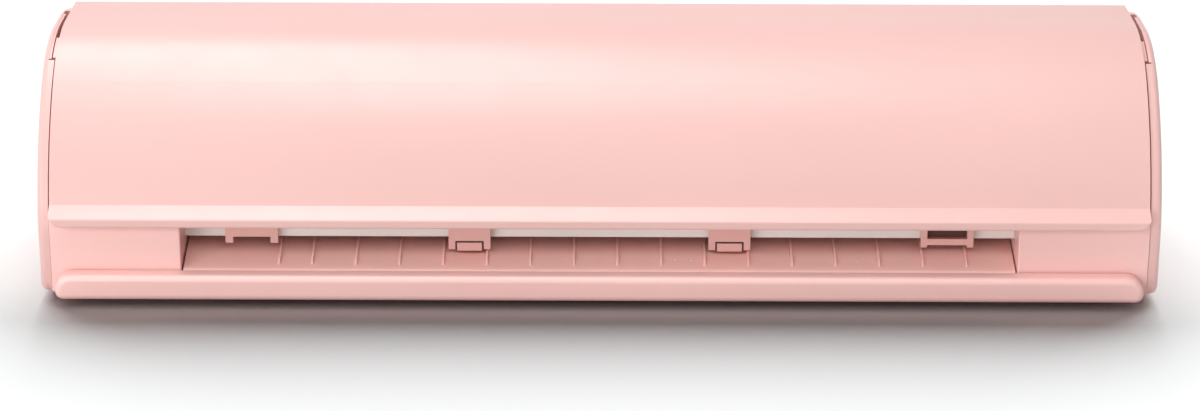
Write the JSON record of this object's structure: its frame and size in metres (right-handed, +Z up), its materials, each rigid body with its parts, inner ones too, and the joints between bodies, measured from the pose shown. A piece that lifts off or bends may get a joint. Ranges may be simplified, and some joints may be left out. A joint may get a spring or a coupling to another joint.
{
  "type": "die cutting machine",
  "caption": "Wide desktop craft cutting machine: hinged rolled lid over a tool carriage, front feed slot with pinch rollers, ribbed platen, rear exit slot and a pull-out front tray.",
  "frame": {"origin": "on the floor under the middle of the machine's box", "axes": "+X to the right of a person facing the machine, +Y to its back, +Z up"},
  "size_m": [0.54, 0.175, 0.119],
  "materials": {
    "pink_shell": "smooth moulded",
    "pink_inner": "fine textured moulded",
    "pale_paint": "satin powder coat",
    "steel": "brushed",
    "zinc": "zinc plated sheet",
    "rail_metal": "anodised",
    "black_rubber": "matte",
    "grey_rubber": "matte",
    "motor_black": "satin",
    "green_board": "solder mask",
    "white_plastic": "satin moulded",
    "black_plastic": "fine textured",
    "brass": "turned",
    "grit": "grit blasted"
  },
  "bodies": {
    "case": {"left_end_cap": "pink_shell", "right_end_cap": "pink_shell", "hinge_pins": "steel", "rear_cover": "pink_shell", "base_pan": "pink_inner", "rubber_feet": "black_rubber", "case_screws": "steel", "left_front_panel": "pink_shell", "right_front_panel": "pink_shell", "left_deck_cover": "pink_shell", "right_deck_cover": "pink_shell", "switch_board": "green_board", "feed_platen": "pink_inner", "cutting_strip": "white_plastic", "left_side_frame": "zinc", "right_side_frame": "zinc", "shaft_bushes": "brass", "feed_motor": "motor_black", "feed_motor_bracket": "zinc", "roller_bar": "pale_paint", "pinch_pivot_rod": "steel", "carriage_rail": "rail_metal", "timing_belt": "black_rubber", "motor_plate": "zinc", "idler_plate": "zinc", "carriage_motor": "motor_black", "idler_pin": "steel", "main_board": "green_board", "power_inlet": "black_plastic", "data_port": "black_plastic"},
    "lid": {"lid": "pink_shell"},
    "tray": {"media_tray": "pink_inner", "tray_front": "pink_shell"},
    "carriage": {"carriage_body": "white_plastic"},
    "feed_roller": {"feed_shaft": "steel", "grit_rollers": "grit", "feed_gear": "white_plastic"},
    "pinion": {"motor_pinion": "brass", "pinion_shaft": "steel"},
    "drive_wheel": {"drive_pulley": "rail_metal", "drive_shaft": "steel"},
    "idler_wheel": {"idler_pulley": "rail_metal"},
    "left_arm": {"left_pinch_arm": "pink_inner"},
    "left_roller": {"left_pinch_roller": "grey_rubber"},
    "left_middle_arm": {"left_middle_pinch_arm": "pink_inner"},
    "left_middle_roller": {"left_middle_pinch_roller": "grey_rubber"},
    "right_middle_arm": {"right_middle_pinch_arm": "pink_inner"},
    "right_middle_roller": {"right_middle_pinch_roller": "grey_rubber"},
    "right_arm": {"right_pinch_arm": "pink_inner"},
    "right_roller": {"right_pinch_roller": "grey_rubber"},
    "left_tool": {"left_tool_holder": "white_plastic", "left_blade": "steel"},
    "left_lock": {"left_tool_lock": "pink_shell"},
    "right_tool": {"right_tool_holder": "white_plastic", "right_blade": "steel"},
    "right_lock": {"right_tool_lock": "pink_shell"},
    "power_key": {"power_button": "white_plastic"},
    "load_key": {"load_button": "white_plastic"},
    "pause_key": {"pause_button": "white_plastic"}
  },
  "joints": [
    {"name": "lid_hinge", "type": "hinge", "parent": "case", "child": "lid", "pos_m": [0, 0.028, 0.111], "axis": [-1, 0, 0], "range_deg": [0, 85]},
    {"name": "tray_slide", "type": "slide", "parent": "case", "child": "tray", "axis": [0, -1, 0], "range_m": [0, 0.1]},
    {"name": "carriage_slide", "type": "slide", "parent": "case", "child": "carriage", "axis": [1, 0, 0], "range_m": [-0.326, 0.01]},
    {"name": "drive_wheel_spin", "type": "hinge", "parent": "case", "child": "drive_wheel", "pos_m": [0.184, 0.0295, 0.07], "axis": [0, 1, 0], "range_deg": [-2900, 120]},
    {"name": "idler_wheel_spin", "type": "hinge", "parent": "case", "child": "idler_wheel", "pos_m": [-0.184, 0.0295, 0.07], "axis": [0, 1, 0], "range_deg": [-2900, 120]},
    {"name": "feed_roller_spin", "type": "hinge", "parent": "case", "child": "feed_roller", "pos_m": [0, -0.04, 0.0166], "axis": [1, 0, 0], "continuous": true},
    {"name": "pinion_spin", "type": "hinge", "parent": "case", "child": "pinion", "pos_m": [-0.213, -0.03045, 0.02615], "axis": [1, 0, 0], "continuous": true},
    {"name": "left_arm_lift", "type": "hinge", "parent": "case", "child": "left_arm", "pos_m": [-0.1685, -0.028, 0.038], "axis": [-1, 0, 0], "range_deg": [0, 8], "stiffness_Nm_per_rad": 0.3, "springref_deg": -5.73},
    {"name": "left_roller_spin", "type": "hinge", "parent": "left_arm", "child": "left_roller", "pos_m": [-0.1685, -0.04, 0.0289], "axis": [1, 0, 0], "continuous": true},
    {"name": "left_middle_arm_lift", "type": "hinge", "parent": "case", "child": "left_middle_arm", "pos_m": [-0.063, -0.028, 0.038], "axis": [-1, 0, 0], "range_deg": [0, 8], "stiffness_Nm_per_rad": 0.3, "springref_deg": -5.73},
    {"name": "left_middle_roller_spin", "type": "hinge", "parent": "left_middle_arm", "child": "left_middle_roller", "pos_m": [-0.063, -0.04, 0.0289], "axis": [1, 0, 0], "continuous": true},
    {"name": "right_middle_arm_lift", "type": "hinge", "parent": "case", "child": "right_middle_arm", "pos_m": [0.063, -0.028, 0.038], "axis": [-1, 0, 0], "range_deg": [0, 8], "stiffness_Nm_per_rad": 0.3, "springref_deg": -5.73},
    {"name": "right_middle_roller_spin", "type": "hinge", "parent": "right_middle_arm", "child": "right_middle_roller", "pos_m": [0.063, -0.04, 0.0289], "axis": [1, 0, 0], "continuous": true},
    {"name": "right_arm_lift", "type": "hinge", "parent": "case", "child": "right_arm", "pos_m": [0.1685, -0.028, 0.038], "axis": [-1, 0, 0], "range_deg": [0, 8], "stiffness_Nm_per_rad": 0.3, "springref_deg": -5.73},
    {"name": "right_roller_spin", "type": "hinge", "parent": "right_arm", "child": "right_roller", "pos_m": [0.1685, -0.04, 0.0289], "axis": [1, 0, 0], "continuous": true},
    {"name": "left_tool_drop", "type": "slide", "parent": "carriage", "child": "left_tool", "axis": [0, 0, -1], "range_m": [0, 0.002], "stiffness_N_per_m": 100, "springref_m": -0.004},
    {"name": "left_lock_slide", "type": "slide", "parent": "carriage", "child": "left_lock", "axis": [0, -1, 0], "range_m": [0, 0.004]},
    {"name": "right_tool_drop", "type": "slide", "parent": "carriage", "child": "right_tool", "axis": [0, 0, -1], "range_m": [0, 0.002], "stiffness_N_per_m": 100, "springref_m": -0.004},
    {"name": "right_lock_slide", "type": "slide", "parent": "carriage", "child": "right_lock", "axis": [0, -1, 0], "range_m": [0, 0.004]},
    {"name": "power_press", "type": "slide", "parent": "case", "child": "power_key", "axis": [0, 0, -1], "range_m": [0, 0.0008], "stiffness_N_per_m": 500, "springref_m": -0.0005},
    {"name": "load_press", "type": "slide", "parent": "case", "child": "load_key", "axis": [0, 0, -1], "range_m": [0, 0.0008], "stiffness_N_per_m": 500, "springref_m": -0.0005},
    {"name": "pause_press", "type": "slide", "parent": "case", "child": "pause_key", "axis": [0, 0, -1], "range_m": [0, 0.0008], "stiffness_N_per_m": 500, "springref_m": -0.0005}
  ],
  "couplings": [
    {"joint": "drive_wheel_spin", "follows": "carriage_slide", "rad_per_m": 150.15},
    {"joint": "idler_wheel_spin", "follows": "carriage_slide", "rad_per_m": 150.15},
    {"joint": "pinion_spin", "follows": "feed_roller_spin", "ratio": -2},
    {"joint": "left_roller_spin", "follows": "feed_roller_spin", "ratio": -1.4},
    {"joint": "left_middle_roller_spin", "follows": "feed_roller_spin", "ratio": -1.4},
    {"joint": "right_middle_roller_spin", "follows": "feed_roller_spin", "ratio": -1.4},
    {"joint": "right_roller_spin", "follows": "feed_roller_spin", "ratio": -1.4}
  ]
}
